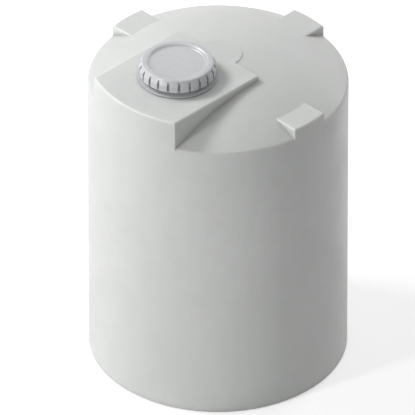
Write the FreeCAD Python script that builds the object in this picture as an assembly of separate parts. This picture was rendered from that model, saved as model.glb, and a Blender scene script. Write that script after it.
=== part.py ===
import FreeCAD, Part
import math
import os

# Upright storage tank in rotationally moulded polyethylene, with a screw closure on its roof.
# Millimetres, +Z up. The origin is the centre of the tank's base, on the floor. The platform that
# carries the closure lies towards -Y, and the three rim pads towards +X, +Y and -X.

# Driving dimensions of the tank.
tank_radius = 500.0
tank_wall = 7.0
wall_height = 1217.0           # floor to the corner where the wall's line meets the roof's
rim_round = 12.0               # outside radius between wall and roof
base_ease = 8.0                # bevel between wall and base
flats_per_round = 2            # a turned round is drawn as this many flats

# The roof: a shallow sphere with a flat crown on it, level with the platform.
platform_rise = 122.0          # wall corner to the top of the platform
crown_radius = 94.0
crown_step = 5.0               # crown's edge above the sphere
platform_half_width = 217.0
platform_depth = 502.0         # from the wall's front, towards the tank's axis and past it
pad_rise = 46.0                # wall corner to the top of a rim pad
pad_half_width = 79.5
pad_directions = (0.0, 90.0, 180.0)
edge_ease = 4.0                # bevel round the tops of the platform, the crown and the pads

# The closure. Heights are above the platform.
closure_to_wall = 281.5        # closure axis to the wall's front
neck_bore_radius = 120.0
neck_wall = 9.5
neck_height = 50.0             # flange top to neck rim
flange_thickness = 5.0
flange_margin = 4.5            # flange beyond the screw ring's grips
tail_wall = 7.5                # wall of the threaded tail that passes through the roof
tail_end = 6.0                 # tail beyond the backing nut

collar_gasket_thickness = 2.0
collar_gasket_inset = 2.5      # gasket inside the flange's edge
hole_play = 1.0                # radial, tail in the tank's hole
gasket_play = 0.5              # radial, a gasket around the part that it slides on

nut_height = 14.0
nut_wall = 16.0
nut_play = 0.5                 # radial, tail thread land to nut thread land
nut_lug_count = 8
nut_lug_depth = 7.0
nut_lug_angle = 16.0

thread_room = 5.5              # radial, neck land to ring land, filled by the two threads
thread_travel = 25.0           # rise that frees the ring: two and a half turns of a 10 mm lead
skirt_wall = 4.0
skirt_gap = 17.0               # flange to the skirt's lower edge
grip_count = 22
grip_angle = 12.5
grip_depth = 9.0
grip_height = 40.0
grip_slope = 15.0              # fall of a grip's top from the skirt outwards
grip_ease = 1.5                # bevel on a grip's outer corners
notch_angle = -42.5            # where the middle of one of the notches between the grips lies
ring_top_thickness = 6.0
ring_shoulder_round = 6.0
ring_lip = 23.0                # top wall inwards from the skirt's inside
ring_lip_chamfer_width = 7.0
ring_lip_chamfer_height = 4.5

cover_gasket_thickness = 3.0
cover_gasket_inset = 0.5       # gasket inside the neck's outside
cover_rim_thickness = 5.0
cover_rim_play = 5.0           # radial, cover's rim in the ring
cover_recess = 3.0             # floor of the cover below its rim
cover_recess_inset = 3.0       # recess's upper edge inside the ring's lip
cover_recess_slope = 5.0
cover_panel_thickness = 4.0
spigot_play = 3.0              # radial, spigot in the neck's bore
spigot_wall = 4.0
clip_count = 6                 # clips on the spigot, which keep the gasket on it
clip_angle = 14.0
clip_play = 1.0                # radial, a clip in the neck's bore
clip_height = 3.0
clip_clear = 0.5               # gasket to clips when the ring is fully up
rib_count = 8
rib_thickness = 3.0
rib_height = 12.0
rib_hub_radius = 16.0

root_depth = 2.0               # how far a lug, grip, clip or rib reaches into the wall that carries it

# Places that follow from them.
platform_top = wall_height + platform_rise
pad_top = wall_height + pad_rise
platform_inner_edge = platform_depth - tank_radius
closure_offset = closure_to_wall - tank_radius

tail_radius = neck_bore_radius + tail_wall
hole_radius = tail_radius + hole_play
neck_radius = neck_bore_radius + neck_wall
ring_bore_radius = neck_radius + thread_room
skirt_radius = ring_bore_radius + skirt_wall
grip_radius = skirt_radius + grip_depth
flange_radius = grip_radius + flange_margin

flange_under = collar_gasket_thickness
flange_top = flange_under + flange_thickness
neck_rim = flange_top + neck_height
cover_seat = neck_rim + cover_gasket_thickness
cover_rim_top = cover_seat + cover_rim_thickness
ring_top = cover_rim_top + ring_top_thickness
skirt_foot = flange_top + skirt_gap
tail_foot = -(tank_wall + nut_height + tail_end)
nut_top = -tank_wall

spigot_radius = neck_bore_radius - spigot_play
clip_radius = neck_bore_radius - clip_play
clip_top = cover_seat - cover_gasket_thickness - thread_travel - clip_clear
spigot_foot = clip_top - clip_height

spare = 20.0                   # how far a cutting tool reaches past what it cuts
tolerance = 0.001

SEAM_ANGLE = 135.0
Y_AXIS = FreeCAD.Vector(0, 1, 0)
Z_AXIS = FreeCAD.Vector(0, 0, 1)
CENTRE = FreeCAD.Vector(0, 0, 0)


def on_axis(height):
    return FreeCAD.Vector(0, 0, height)


def outline_face(outline):
    """A closed outline of (radius, height) points as a face in the XZ plane."""
    points = [FreeCAD.Vector(radius, 0, height) for radius, height in outline + outline[:1]]
    return Part.Face(Part.makePolygon(points))


def turned(outline):
    """A solid of revolution about Z, with its seam between the platform and a pad."""
    solid = outline_face(outline).revolve(CENTRE, Z_AXIS, 360)
    solid.rotate(CENTRE, Z_AXIS, SEAM_ANGLE)
    return solid


def washer(inner, outer, foot, top):
    """A plain ring of rectangular section."""
    return turned([(inner, foot), (outer, foot), (outer, top), (inner, top)])


def turned_sector(outline, middle_angle, spread):
    """A block that is turned through a part of the circle only."""
    profile = outline_face(outline)
    profile.rotate(CENTRE, Z_AXIS, middle_angle - spread / 2)
    return profile.revolve(CENTRE, Z_AXIS, spread)


def roof_sphere():
    """Centre height and radius of the roof, through the wall's corner and the foot of the crown."""
    crown_foot = platform_top - crown_step
    difference = crown_radius ** 2 + crown_foot ** 2 - tank_radius ** 2 - wall_height ** 2
    height = difference / (2 * (crown_foot - wall_height))
    return height, math.hypot(tank_radius, wall_height - height)


def arc_points(centre, start, end, count):
    """Evenly spaced (radius, height) points on the short arc between two points about a centre."""
    radius = math.hypot(start[0] - centre[0], start[1] - centre[1])
    first = math.atan2(start[1] - centre[1], start[0] - centre[0])
    last = math.atan2(end[1] - centre[1], end[0] - centre[0])
    angles = [first + (last - first) * index / count for index in range(count + 1)]
    return [(centre[0] + radius * math.cos(a), centre[1] + radius * math.sin(a)) for a in angles]


def above_the_roof(inset):
    """All round the crown that lies outside the roof's sphere, with both moved in by the inset."""
    height, radius = roof_sphere()
    inner = crown_radius - inset
    outer = tank_radius + spare
    top = platform_top + spare
    ring = washer(inner, outer, height, top)
    sphere = Part.makeSphere(radius - inset)
    # The sphere lies on its side, with its seam and poles well below the roof.
    sphere.rotate(CENTRE, Y_AXIS, 90)
    sphere.translate(on_axis(height))
    return ring.cut(sphere)


def rim_corner(inset, rounding):
    """Where the wall's line ends, and what a rounding leaves outside the corner of wall and roof."""
    wall = tank_radius - inset
    height, radius = roof_sphere()
    reach = radius - inset - rounding
    centre = (wall - rounding, height + math.sqrt(reach ** 2 - (wall - rounding) ** 2))
    if not rounding:
        return centre[1], []
    scale = (radius - inset) / reach
    on_roof = (centre[0] * scale, height + (centre[1] - height) * scale)
    flats = arc_points(centre, (wall, centre[1]), on_roof, flats_per_round)
    # The last flat runs on past the sphere, so that the two cross cleanly.
    before, end = flats[-2:]
    flats[-1] = (2 * end[0] - before[0], 2 * end[1] - before[1])
    outer = wall + spare
    top = platform_top + spare
    return centre[1], [turned(flats + [(flats[-1][0], top), (outer, top), (outer, centre[1])])]


def raised_block(inset, foot, start, half_width, top, direction):
    """What is kept of the full barrel for the platform or a pad, from start outwards."""
    reach = tank_radius + 2 * spare - start
    corner = FreeCAD.Vector(start, inset - half_width, foot - spare)
    block = Part.makeBox(reach, 2 * (half_width - inset), top - inset - foot + spare, corner)
    block.rotate(CENTRE, Z_AXIS, direction)
    return block


def barrel(inset, ease):
    """The full cylinder up to the platform's level, before anything is cut from its top."""
    wall = tank_radius - inset
    top = platform_top - inset
    foot = [(wall, inset)]
    if ease:
        foot = [(wall - ease, inset), (wall, inset + ease)]
    return turned([(0, inset)] + foot + [(wall, top), (0, top)])


def tank_form(inset, rounding_at_rim, ease_at_base):
    """The whole moulding as a solid, with every face moved in by the inset."""
    foot, corner = rim_corner(inset, rounding_at_rim)
    start = inset - platform_inner_edge
    blocks = [raised_block(inset, foot, start, platform_half_width, platform_top, -90)]
    for direction in pad_directions:
        blocks.append(raised_block(inset, foot, 0.0, pad_half_width, pad_top, direction))
    waste = [piece.cut(blocks) for piece in [above_the_roof(inset)] + corner]
    return barrel(inset, ease_at_base).cut(waste).removeSplitter().Solids[0]


def raised_edges(body):
    """Edges round the platform, the crown and the pads, except where a pad meets the roof."""
    found = []
    for edge in body.Edges:
        box = edge.BoundBox
        level = box.ZLength < tolerance
        on_top = min(abs(box.ZMax - platform_top), abs(box.ZMax - pad_top)) < tolerance
        if not level or not on_top:
            continue
        if isinstance(edge.Curve, Part.Line) or edge.Curve.Radius in (tank_radius, crown_radius):
            found.append(edge)
    return found


def at_closure(shape):
    """Moves a closure piece from its own axis to its place on the platform."""
    shape.translate(FreeCAD.Vector(0, closure_offset, platform_top))
    return shape


def vessel_shell():
    """One hollow moulding of even wall, with the hole for the neck."""
    outside = tank_form(0.0, rim_round, base_ease)
    outside = outside.makeChamfer(edge_ease, raised_edges(outside))
    inside = tank_form(tank_wall, 0, 0)
    hole = Part.makeCylinder(hole_radius, tank_wall + 2 * spare, on_axis(-tank_wall - spare))
    return outside.cut(inside).cut(at_closure(hole))


def neck_collar():
    """Flanged neck whose tail goes down through the roof."""
    outline = [
        (neck_bore_radius, tail_foot),
        (tail_radius, tail_foot),
        (tail_radius, flange_under),
        (flange_radius, flange_under),
        (flange_radius, flange_top),
        (neck_radius, flange_top),
        (neck_radius, neck_rim),
        (neck_bore_radius, neck_rim),
    ]
    return turned(outline)


def collar_gasket():
    """Flat ring between the flange and the platform."""
    inner = hole_radius + gasket_play
    outer = flange_radius - collar_gasket_inset
    return washer(inner, outer, 0, collar_gasket_thickness)


def backing_nut():
    """Ring nut on the tail, up against the inside of the roof, with lugs for a spanner."""
    inner = tail_radius + nut_play
    outer = inner + nut_wall
    foot = nut_top - nut_height
    nut = washer(inner, outer, foot, nut_top)
    root = outer - root_depth
    tip = outer + nut_lug_depth
    outline = [(root, foot), (tip, foot), (tip, nut_top), (root, nut_top)]
    angles = [index * 360 / nut_lug_count for index in range(nut_lug_count)]
    lugs = [turned_sector(outline, angle, nut_lug_angle) for angle in angles]
    return nut.fuse(lugs).removeSplitter()


def screw_ring():
    """Castellated ring: a skirt over the neck, and a lip over the cover's rim."""
    lip_radius = ring_bore_radius - ring_lip
    shoulder_centre = (skirt_radius - ring_shoulder_round, ring_top - ring_shoulder_round)
    shoulder_foot = (skirt_radius, shoulder_centre[1])
    shoulder_head = (shoulder_centre[0], ring_top)
    outline = [
        (ring_bore_radius, skirt_foot),
        (skirt_radius, skirt_foot),
        *arc_points(shoulder_centre, shoulder_foot, shoulder_head, flats_per_round),
        (lip_radius + ring_lip_chamfer_width, ring_top),
        (lip_radius, ring_top - ring_lip_chamfer_height),
        (lip_radius, cover_rim_top),
        (ring_bore_radius, cover_rim_top),
    ]
    grips = [grip_block(notch_angle + (index + 0.5) * 360 / grip_count) for index in range(grip_count)]
    return turned(outline).fuse(grips).removeSplitter()


def grip_block(angle):
    """One grip, rooted in the skirt, with eased outer corners."""
    top = skirt_foot + grip_height
    root = skirt_radius - root_depth
    outline = [
        (root, skirt_foot),
        (grip_radius, skirt_foot),
        (grip_radius, top - grip_slope),
        (skirt_radius, top),
        (root, top),
    ]
    block = turned_sector(outline, 0, grip_angle)
    corners = []
    for edge in block.Edges:
        level = edge.BoundBox.ZLength < tolerance
        outer = edge.BoundBox.XMin > skirt_radius
        if outer and not level:
            corners.append(edge)
    block = block.makeChamfer(grip_ease, corners)
    block.rotate(CENTRE, Z_AXIS, angle)
    return block


def cover_disc():
    """Recessed cover with a spigot into the neck, clips that hold the gasket, and ribs below."""
    recess_radius = ring_bore_radius - ring_lip - cover_recess_inset
    floor_radius = recess_radius - cover_recess_slope
    floor = cover_rim_top - cover_recess
    panel_under = floor - cover_panel_thickness
    outline = [
        (0, panel_under),
        (spigot_radius - spigot_wall, panel_under),
        (spigot_radius - spigot_wall, spigot_foot),
        (spigot_radius, spigot_foot),
        (spigot_radius, cover_seat),
        (ring_bore_radius - cover_rim_play, cover_seat),
        (ring_bore_radius - cover_rim_play, cover_rim_top),
        (recess_radius, cover_rim_top),
        (floor_radius, floor),
        (0, floor),
    ]
    return turned(outline).fuse(gasket_clips() + cover_ribs(panel_under)).removeSplitter()


def gasket_clips():
    """Short clips round the spigot's foot, sloped below so that the gasket snaps over them."""
    root = spigot_radius - root_depth
    outline = [
        (root, spigot_foot),
        (spigot_radius, spigot_foot),
        (clip_radius, clip_top),
        (root, clip_top),
    ]
    angles = [index * 360 / clip_count for index in range(clip_count)]
    return [turned_sector(outline, angle, clip_angle) for angle in angles]


def cover_ribs(panel_under):
    """Hub and radial ribs under the cover's panel."""
    foot = panel_under - rib_height
    reach = spigot_radius - spigot_wall + root_depth
    pieces = [Part.makeCylinder(rib_hub_radius, rib_height, on_axis(foot))]
    for index in range(rib_count):
        corner = FreeCAD.Vector(0, -rib_thickness / 2, foot)
        rib = Part.makeBox(reach, rib_thickness, rib_height, corner)
        rib.rotate(CENTRE, Z_AXIS, index * 360 / rib_count)
        pieces.append(rib)
    return pieces


def cover_gasket():
    """Flat ring between the neck's rim and the cover, captive on the spigot."""
    inner = spigot_radius + gasket_play
    outer = neck_radius - cover_gasket_inset
    return washer(inner, outer, neck_rim, cover_seat)


def main():
    os.makedirs("parts", exist_ok=True)
    pieces = {
        "vessel_shell": vessel_shell(),
        "neck_collar": at_closure(neck_collar()),
        "collar_gasket": at_closure(collar_gasket()),
        "backing_nut": at_closure(backing_nut()),
        "screw_ring": at_closure(screw_ring()),
        "cover_disc": at_closure(cover_disc()),
        "cover_gasket": at_closure(cover_gasket()),
    }
    for name, shape in pieces.items():
        print(name, "valid", shape.isValid(), "solids", len(shape.Solids), "mm3", round(shape.Volume))
        shape.exportStep("parts/" + name + ".step")


main()
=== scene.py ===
import bpy
import math
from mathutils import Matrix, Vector


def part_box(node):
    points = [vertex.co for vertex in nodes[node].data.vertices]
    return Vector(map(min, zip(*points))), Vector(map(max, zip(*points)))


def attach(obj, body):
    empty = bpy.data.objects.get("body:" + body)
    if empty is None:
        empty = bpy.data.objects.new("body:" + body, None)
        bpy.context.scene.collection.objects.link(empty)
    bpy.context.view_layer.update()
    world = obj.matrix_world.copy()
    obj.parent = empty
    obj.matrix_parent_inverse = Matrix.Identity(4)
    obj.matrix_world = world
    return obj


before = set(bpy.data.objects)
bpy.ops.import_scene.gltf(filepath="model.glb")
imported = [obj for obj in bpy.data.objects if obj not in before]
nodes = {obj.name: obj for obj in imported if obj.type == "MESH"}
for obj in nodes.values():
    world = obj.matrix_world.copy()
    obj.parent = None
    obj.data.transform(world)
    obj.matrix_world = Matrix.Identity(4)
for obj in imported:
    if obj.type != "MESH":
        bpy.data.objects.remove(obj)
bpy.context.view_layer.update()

# ---------------------------------------------------------------------------------------------
# The tank itself: one hollow rotational moulding in natural polyethylene, 7 mm thick, with its
# platform and three rim pads moulded in. The resin is milky, a little translucent, and has the
# faint orange peel of a surface that was never pressed against the mould.
SHELL_WHITE = (0.76, 0.77, 0.745)
SHELL_SHADE = (0.72, 0.735, 0.71)
SHELL_CLOUD = 0.5
SHELL_GLOSS = 0.43
SHELL_GLOSS_CHANGE = 0.06
SHELL_EDGE = 0.005
SHELL_CORNER = 0.03
SHELL_WAVE = (0.2, 0.007)
SHELL_PEEL = (0.008, 0.0007)
SHELL_MILKINESS = 0.6
SHELL_SLIVER = 0.0004
MOULDED_CREASE = math.radians(12)


def weld_and_smooth(piece, sliver, crease):
    """Closes slivers and seams, and smooths facets that meet at less than the crease's angle."""
    tree = bpy.data.node_groups.new(piece.name + "_smoothing", "GeometryNodeTree")
    for direction in ("INPUT", "OUTPUT"):
        tree.interface.new_socket("Geometry", in_out=direction, socket_type="NodeSocketGeometry")
    start = tree.nodes.new("NodeGroupInput")
    weld = tree.nodes.new("GeometryNodeMergeByDistance")
    weld.inputs["Distance"].default_value = sliver
    smooth_faces = tree.nodes.new("GeometryNodeSetShadeSmooth")
    angle = tree.nodes.new("GeometryNodeInputMeshEdgeAngle")
    gentle = tree.nodes.new("FunctionNodeCompare")
    gentle.operation = "LESS_EQUAL"
    gentle.inputs["B"].default_value = crease
    smooth_edges = tree.nodes.new("GeometryNodeSetShadeSmooth")
    smooth_edges.domain = "EDGE"
    end = tree.nodes.new("NodeGroupOutput")
    join = tree.links.new
    join(start.outputs["Geometry"], weld.inputs["Geometry"])
    join(weld.outputs["Geometry"], smooth_faces.inputs["Geometry"])
    join(smooth_faces.outputs["Geometry"], smooth_edges.inputs["Geometry"])
    join(angle.outputs["Unsigned Angle"], gentle.inputs["A"])
    join(gentle.outputs["Result"], smooth_edges.inputs["Shade Smooth"])
    join(smooth_edges.outputs["Geometry"], end.inputs["Geometry"])
    piece.modifiers.new("smoothing", "NODES").node_group = tree


def new_finish(name):
    """An empty material with its nodes and links, the surface they lead to, and the place on it."""
    material = bpy.data.materials.new(name)
    material.use_nodes = True
    made, links = material.node_tree.nodes, material.node_tree.links
    place = made.new("ShaderNodeTexCoord").outputs["Object"]
    return material, made, links, made["Principled BSDF"], place


def noise_field(made, links, place, size, detail):
    """A noise whose patches are about this size, in metres."""
    noise = made.new("ShaderNodeTexNoise")
    noise.inputs["Scale"].default_value = 1 / size
    noise.inputs["Detail"].default_value = detail
    links.new(place, noise.inputs["Vector"])
    return noise.outputs["Fac"]


def ranged(made, links, value, spread, result):
    """The value, taken from one range to another and held within it."""
    step = made.new("ShaderNodeMapRange")
    step.inputs["From Min"].default_value, step.inputs["From Max"].default_value = spread
    step.inputs["To Min"].default_value, step.inputs["To Max"].default_value = result
    links.new(value, step.inputs["Value"])
    return step.outputs["Result"]


def combined(made, links, operation, one, other):
    """Two values brought together, as their product or as the larger of them."""
    step = made.new("ShaderNodeMath")
    step.operation = operation
    links.new(one, step.inputs[0])
    links.new(other, step.inputs[1])
    return step.outputs["Value"]


def blended(made, links, share, first, second):
    """One colour, going over to another by a share; the first may be a colour made before."""
    blend = made.new("ShaderNodeMix")
    blend.data_type = "RGBA"
    links.new(share, blend.inputs["Factor"])
    if isinstance(first, tuple):
        blend.inputs["A"].default_value = (*first, 1)
    else:
        links.new(first, blend.inputs["A"])
    blend.inputs["B"].default_value = (*second, 1)
    return blend.outputs["Result"]


def bumped(made, links, place, normal, size, depth):
    """The surface's normal, tilted by bumps of this size and depth."""
    bump = made.new("ShaderNodeBump")
    bump.inputs["Distance"].default_value = depth
    links.new(noise_field(made, links, place, size, 2), bump.inputs["Height"])
    if normal:
        links.new(normal, bump.inputs["Normal"])
    return bump.outputs["Normal"]


# How moulded plastic wears, takes a painted highlight on its edges and painted shade in its corners,
# and lets light in, the same on every piece. A pair is a range of a noise or a measure, or the shares
# that it is taken to.
WHOLE = (0.0, 1.0)
EDGE_LIKENESS = (0.998, 0.95)
CORNER_OPENNESS = (0.95, 0.5)
CLOUD_RANGE = (0.35, 0.65)
MOTTLE_TO_CLOUD = 1 / 9
MOTTLE_RANGE = (0.4, 0.7)
MOTTLE_SHARES = (0.0, 0.5)
RUB_AND_HIGHLIGHT_TO_EDGE = 8
RUB_AND_HIGHLIGHT_RANGE = (0.3, 0.6)
RUB_AND_HIGHLIGHT_SHARES = (0.4, 1.0)
RUBBED_AND_HIGHLIGHTED_LIGHTER = 1.16
CORNER_SHADE_NOISE_TO_REACH = 3
CORNER_SHADE_NOISE_RANGE = (0.3, 0.7)
CORNER_SHADE_SHARES = (0.5, 1.0)
PAINTED_SHADE_DARKER = 0.62
SHEEN_TO_CLOUD = 1 / 4
SHEEN_RANGE = (0.3, 0.7)
MILKY_DEPTH = 0.02
MILKY_TINT = (1.0, 0.95, 0.85)
PLASTIC_IOR = 1.5


def plastic(name, colour, shade, cloud, gloss, gloss_change, edge, corner, bumps, milkiness):
    """Moulded plastic, clouded and unevenly glossy, with a painted highlight and scuffs on its edges
    and painted shade in its corners.
    """
    material, made, links, surface, place = new_finish(name)

    # An edge is where the normal of the rounded form leaves the true one.
    soft_edge = made.new("ShaderNodeBevel")
    soft_edge.samples = 6
    soft_edge.inputs["Radius"].default_value = edge
    likeness = made.new("ShaderNodeVectorMath")
    likeness.operation = "DOT_PRODUCT"
    links.new(soft_edge.outputs["Normal"], likeness.inputs[0])
    links.new(made.new("ShaderNodeNewGeometry").outputs["Normal"], likeness.inputs[1])
    at_edge = ranged(made, links, likeness.outputs["Value"], EDGE_LIKENESS, WHOLE)
    # Ambient occlusion measures how closed in a corner is, for the painted shade below.
    open_sky = made.new("ShaderNodeAmbientOcclusion")
    open_sky.samples = 8
    open_sky.inputs["Distance"].default_value = corner
    painted_shade_mask = ranged(made, links, open_sky.outputs["AO"], CORNER_OPENNESS, WHOLE)

    # Clouds and the smaller mottle between them, both towards the shade.
    clouds = ranged(made, links, noise_field(made, links, place, cloud, 3), CLOUD_RANGE, WHOLE)
    clouded = blended(made, links, clouds, colour, shade)
    mottle = noise_field(made, links, place, cloud * MOTTLE_TO_CLOUD, 2)
    patches = ranged(made, links, mottle, MOTTLE_RANGE, MOTTLE_SHARES)
    mottled = blended(made, links, patches, clouded, shade)

    # Convex edges get a painted highlight, lighter in colour, which partly stands for rub wear, here
    # more and there less.
    edge_rub_and_highlight_noise = noise_field(made, links, place, edge * RUB_AND_HIGHLIGHT_TO_EDGE, 3)
    edge_rub_and_highlight_patches = ranged(made, links, edge_rub_and_highlight_noise, RUB_AND_HIGHLIGHT_RANGE, RUB_AND_HIGHLIGHT_SHARES)
    rub_and_highlight = combined(made, links, "MULTIPLY", at_edge, edge_rub_and_highlight_patches)
    lighter = tuple(min(1.0, RUBBED_AND_HIGHLIGHTED_LIGHTER * part) for part in colour)
    rubbed_and_highlighted = blended(made, links, rub_and_highlight, mottled, lighter)
    # Painted shade: the colour is darkened where the ambient occlusion finds corners closed in, broken
    # up by noise.
    corner_shade_noise = noise_field(made, links, place, corner * CORNER_SHADE_NOISE_TO_REACH, 3)
    corner_shade_patches = ranged(made, links, corner_shade_noise, CORNER_SHADE_NOISE_RANGE, CORNER_SHADE_SHARES)
    painted_corner_shade = combined(made, links, "MULTIPLY", painted_shade_mask, corner_shade_patches)
    darker = tuple(PAINTED_SHADE_DARKER * part for part in shade)
    links.new(blended(made, links, painted_corner_shade, rubbed_and_highlighted, darker), surface.inputs["Base Color"])

    sheen = noise_field(made, links, place, cloud * SHEEN_TO_CLOUD, 4)
    glosses = (gloss - gloss_change, gloss + gloss_change)
    links.new(ranged(made, links, sheen, SHEEN_RANGE, glosses), surface.inputs["Roughness"])
    normal = soft_edge.outputs["Normal"]
    for size, depth in bumps:
        normal = bumped(made, links, place, normal, size, depth)
    links.new(normal, surface.inputs["Normal"])

    surface.inputs["Subsurface Weight"].default_value = milkiness
    surface.inputs["Subsurface Radius"].default_value = MILKY_TINT
    surface.inputs["Subsurface Scale"].default_value = MILKY_DEPTH
    surface.inputs["IOR"].default_value = PLASTIC_IOR
    return material


def finish_node(node, material, sliver):
    """Gives a CAD piece its material and smooth turned faces."""
    piece = nodes[node]
    piece.data.materials.clear()
    piece.data.materials.append(material)
    weld_and_smooth(piece, sliver, MOULDED_CREASE)


natural_polyethylene = plastic(
    "natural_polyethylene", SHELL_WHITE, SHELL_SHADE, SHELL_CLOUD, SHELL_GLOSS, SHELL_GLOSS_CHANGE,
    SHELL_EDGE, SHELL_CORNER, [SHELL_WAVE, SHELL_PEEL], SHELL_MILKINESS)
finish_node("vessel_shell", natural_polyethylene, SHELL_SLIVER)

# ---------------------------------------------------------------------------------------------
# The neck collar: an injection-moulded flanged neck. Its tail goes down through the roof, and
# its coarse round-edged thread, one start with a 10 mm lead, takes the screw ring.
CLOSURE_LOW, CLOSURE_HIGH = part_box("screw_ring")
CLOSURE_X = (CLOSURE_LOW.x + CLOSURE_HIGH.x) / 2
CLOSURE_Y = (CLOSURE_LOW.y + CLOSURE_HIGH.y) / 2
CLOSURE_WHITE = (0.64, 0.65, 0.665)
CLOSURE_SHADE = (0.60, 0.61, 0.63)
CLOSURE_CLOUD = 0.12
CLOSURE_GLOSS = 0.3
CLOSURE_GLOSS_CHANGE = 0.05
CLOSURE_EDGE = 0.0012
CLOSURE_CORNER = 0.012
CLOSURE_WAVE = (0.05, 0.00025)
CLOSURE_GRAIN = (0.004, 0.00003)
CLOSURE_MILKINESS = 0.0
CLOSURE_SLIVER = 0.00002
PLATFORM_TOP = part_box("vessel_shell")[1].z
NECK_RADIUS = 0.1295
NECK_THREAD_LOW = PLATFORM_TOP + 0.033
NECK_THREAD_TURNS = 1.7
THREAD_LEAD = 0.010
THREAD_DEPTH = 0.005
THREAD_ROOT = 0.0055
THREAD_CREST = 0.0025
THREAD_ROUND = 0.0007
THREAD_SUNK = 0.0004
THREAD_END = 0.02
THREAD_STEP = math.radians(4)
THREAD_RUN_OUT = math.radians(24)
THREAD_SLIVER = 0.00001
THREAD_CREASE = math.radians(40)
THREAD_BLUNT = math.radians(30)

closure_plastic = plastic(
    "closure_plastic", CLOSURE_WHITE, CLOSURE_SHADE, CLOSURE_CLOUD, CLOSURE_GLOSS, CLOSURE_GLOSS_CHANGE,
    CLOSURE_EDGE, CLOSURE_CORNER, [CLOSURE_WAVE, CLOSURE_GRAIN], CLOSURE_MILKINESS)


def thread_ridge(name, radius, depth, low, turns, phase):
    """One start of thread wound round the closure's axis, out from a neck or in from a skirt."""
    steps = round(turns * math.tau / THREAD_STEP)
    section = ((0.0, -THREAD_ROOT / 2), (1.0, -THREAD_CREST / 2), (1.0, THREAD_CREST / 2),
               (0.0, THREAD_ROOT / 2))
    count = len(section)
    sunk = math.copysign(THREAD_SUNK, -depth)
    corners = []
    for step in range(steps + 1):
        angle = step * THREAD_STEP
        to_end = min(angle, steps * THREAD_STEP - angle)
        height = depth * min(1.0, THREAD_END + to_end / THREAD_RUN_OUT)
        rise = low + THREAD_LEAD * angle / math.tau
        for at_crest, up in section:
            out = radius + (height if at_crest else sunk)
            corners.append((CLOSURE_X + out * math.cos(angle + phase),
                            CLOSURE_Y + out * math.sin(angle + phase), rise + up))
    faces = []
    for step in range(steps):
        for side in range(count):
            a = step * count + side
            b = step * count + (side + 1) % count
            faces.append((a, b, b + count, a + count))
    faces.append(tuple(range(count))[::-1])
    faces.append(tuple(steps * count + side for side in range(count)))
    if depth < 0:
        faces = [face[::-1] for face in faces]
    mesh = bpy.data.meshes.new(name)
    mesh.from_pydata(corners, [], faces)
    mesh.update()
    mesh.materials.append(closure_plastic)
    piece = bpy.data.objects.new(name, mesh)
    bpy.context.scene.collection.objects.link(piece)
    round_off = piece.modifiers.new("round_off", "BEVEL")
    round_off.width = THREAD_ROUND
    round_off.segments = 2
    round_off.limit_method = "ANGLE"
    round_off.angle_limit = THREAD_BLUNT
    weld_and_smooth(piece, THREAD_SLIVER, THREAD_CREASE)
    return piece


finish_node("neck_collar", closure_plastic, CLOSURE_SLIVER)
neck_thread = thread_ridge("neck_thread", NECK_RADIUS, THREAD_DEPTH, NECK_THREAD_LOW,
                           NECK_THREAD_TURNS, 0.0)
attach(neck_thread, "tank")

# ---------------------------------------------------------------------------------------------
# The two gaskets: flat rings punched from black EPDM sheet. One lies under the collar's flange
# and shows as a thin dark line on the platform, the other seals the cover on the neck's rim.
RUBBER_BLACK = (0.022, 0.022, 0.024)
RUBBER_GREY = (0.045, 0.045, 0.046)
RUBBER_CLOUD = 0.012
RUBBER_SHEEN = 0.004
RUBBER_GLOSSES = (0.62, 0.82)
RUBBER_GRAIN = (0.0009, 0.00004)

sheet_rubber, made, links, surface, place = new_finish("sheet_rubber")
clouds = noise_field(made, links, place, RUBBER_CLOUD, 4)
links.new(blended(made, links, clouds, RUBBER_BLACK, RUBBER_GREY), surface.inputs["Base Color"])
sheen = noise_field(made, links, place, RUBBER_SHEEN, 4)
links.new(ranged(made, links, sheen, WHOLE, RUBBER_GLOSSES), surface.inputs["Roughness"])
links.new(bumped(made, links, place, None, *RUBBER_GRAIN), surface.inputs["Normal"])

finish_node("collar_gasket", sheet_rubber, CLOSURE_SLIVER)
finish_node("cover_gasket", sheet_rubber, CLOSURE_SLIVER)

# ---------------------------------------------------------------------------------------------
# The backing nut: a moulded ring nut inside the roof, run up on the collar's tail to clamp it.
# It is of the same plastic as the rest of the closure.
finish_node("backing_nut", closure_plastic, CLOSURE_SLIVER)

# ---------------------------------------------------------------------------------------------
# The cover: an injection-moulded disc with a sunk face and ribs below. Its spigot hangs in the
# neck and centres it, and small clips at the spigot's foot keep the gasket on it.
finish_node("cover_disc", closure_plastic, CLOSURE_SLIVER)

# ---------------------------------------------------------------------------------------------
# The screw ring: a castellated union ring whose lip holds the cover down. Its inside thread is
# half a lead out of step with the neck's, so that the two ridges run between each other.
RING_BORE = NECK_RADIUS + 0.0055
RING_THREAD_LOW = PLATFORM_TOP + 0.0315
RING_THREAD_TURNS = 1.5
RING_OUT_OF_STEP = (NECK_THREAD_LOW - RING_THREAD_LOW + THREAD_LEAD / 2) / THREAD_LEAD * math.tau

finish_node("screw_ring", closure_plastic, CLOSURE_SLIVER)
ring_thread = thread_ridge("ring_thread", RING_BORE, -THREAD_DEPTH, RING_THREAD_LOW,
                           RING_THREAD_TURNS, -RING_OUT_OF_STEP)
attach(ring_thread, "ring")

# ---------------------------------------------------------------------------------------------
# The floor: matt white paint. It shows as white wherever nothing shades it, and glows more
# further out, where the lamps no longer reach it.
FLOOR_REACH = 40.0
FLOOR_WHITE = (0.82, 0.82, 0.82, 1)
FLOOR_ROUGHNESS = 0.9
PURE_WHITE = (1, 1, 1, 1)
GLOW_DISTANCES = (1.6, 5.0)
GLOW_STRENGTHS = (0.52, 0.85)


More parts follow.
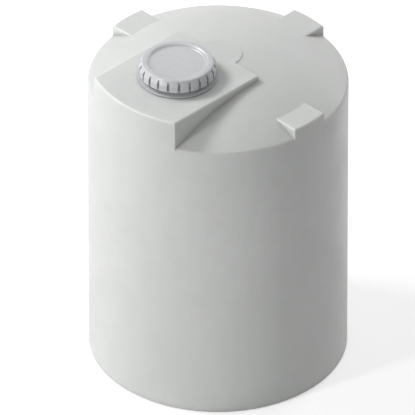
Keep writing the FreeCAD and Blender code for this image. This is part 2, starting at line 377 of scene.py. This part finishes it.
def seen_not_lit(made, links):
    """One for rays that look, straight, in a reflection or through glass, and nought for light."""
    path = made.new("ShaderNodeLightPath").outputs
    seen = combined(made, links, "MAXIMUM", path["Is Camera Ray"], path["Is Glossy Ray"])
    return combined(made, links, "MAXIMUM", seen, path["Is Transmission Ray"])


floor_paint, made, links, surface, place = new_finish("floor_paint")
surface.inputs["Base Color"].default_value = FLOOR_WHITE
surface.inputs["Roughness"].default_value = FLOOR_ROUGHNESS
surface.inputs["Specular IOR Level"].default_value = 0.0
from_tank = made.new("ShaderNodeVectorMath")
from_tank.operation = "LENGTH"
links.new(place, from_tank.inputs[0])
glow = ranged(made, links, from_tank.outputs["Value"], GLOW_DISTANCES, GLOW_STRENGTHS)
surface.inputs["Emission Color"].default_value = PURE_WHITE
links.new(combined(made, links, "MULTIPLY", glow, seen_not_lit(made, links)),
          surface.inputs["Emission Strength"])

corners = [(x * FLOOR_REACH, y * FLOOR_REACH, 0) for x, y in ((-1, -1), (1, -1), (1, 1), (-1, 1))]
mesh = bpy.data.meshes.new("floor")
mesh.from_pydata(corners, [], [(0, 1, 2, 3)])
mesh.materials.append(floor_paint)
floor = bpy.data.objects.new("floor", mesh)
bpy.context.scene.collection.objects.link(floor)

# ---------------------------------------------------------------------------------------------
# The studio: a soft box high behind the left of the tank, a tall strip low in front, a broad weak
# box behind, and an even white surround that fills the shadows.
TANK_MIDDLE = PLATFORM_TOP / 2
SURROUND_STRENGTHS = (0.32, 1.0)


def away_from_axis(bearing, lift):
    """The direction out from the tank at a bearing from its front, and at a height in angle."""
    return Vector((math.sin(bearing) * math.cos(lift), -math.cos(bearing) * math.cos(lift),
                   math.sin(lift)))


def hang(name, thing, aim, away, distance):
    """Hangs a lamp or a camera at a distance from what it faces."""
    holder = bpy.data.objects.new(name, thing)
    bpy.context.scene.collection.objects.link(holder)
    holder.location = aim + away * distance
    holder.rotation_mode = "QUATERNION"
    holder.rotation_quaternion = (-away).to_track_quat("-Z", "Y")
    return holder


def soft_box(name, bearing, lift, distance, width, height, power):
    """A rectangular lamp that faces the middle of the tank, with its angles in degrees."""
    lamp = bpy.data.lights.new(name, "AREA")
    lamp.shape = "RECTANGLE"
    lamp.size = width
    lamp.size_y = height
    lamp.energy = power
    away = away_from_axis(math.radians(bearing), math.radians(lift))
    hang(name, lamp, Vector((0, 0, TANK_MIDDLE)), away, distance)


soft_box("key_lamp", bearing=-62, lift=52, distance=5.0, width=1.4, height=1.4, power=116)
soft_box("strip_lamp", bearing=-8, lift=16, distance=5.0, width=0.5, height=2.6, power=84)
soft_box("back_lamp", bearing=180, lift=30, distance=6.0, width=2.4, height=2.4, power=60)

surround = bpy.data.worlds.new("surround")
surround.use_nodes = True
made, links = surround.node_tree.nodes, surround.node_tree.links
made["Background"].inputs["Color"].default_value = PURE_WHITE
links.new(ranged(made, links, seen_not_lit(made, links), WHOLE, SURROUND_STRENGTHS),
          made["Background"].inputs["Strength"])
bpy.context.scene.world = surround

# ---------------------------------------------------------------------------------------------
# The camera: an isometric view, from 45 degrees round and 35.26 degrees up, through a lens so
# long that upright lines stay upright. It looks past the axis, a little below the tank's middle.
VIEW_BEARING = math.radians(45)
VIEW_HEIGHT = math.atan(1 / math.sqrt(2))
VIEW_WIDTH = 1.5962
LENS = 1600
FILM_WIDTH = 36
VIEW_DISTANCE = VIEW_WIDTH * LENS / FILM_WIDTH
AIM_HEIGHT = 0.6150
AIM_SIDE = -0.0405

camera = bpy.data.cameras.new("camera")
camera.lens = LENS
camera.sensor_width = FILM_WIDTH
camera.clip_start = 1
camera.clip_end = 2 * VIEW_DISTANCE
right = Vector((math.cos(VIEW_BEARING), math.sin(VIEW_BEARING), 0))
aim = Vector((0, 0, AIM_HEIGHT)) + right * AIM_SIDE
away = away_from_axis(VIEW_BEARING, VIEW_HEIGHT)
bpy.context.scene.camera = hang("camera", camera, aim, away, VIEW_DISTANCE)

bpy.context.scene.view_settings.view_transform = "Standard"
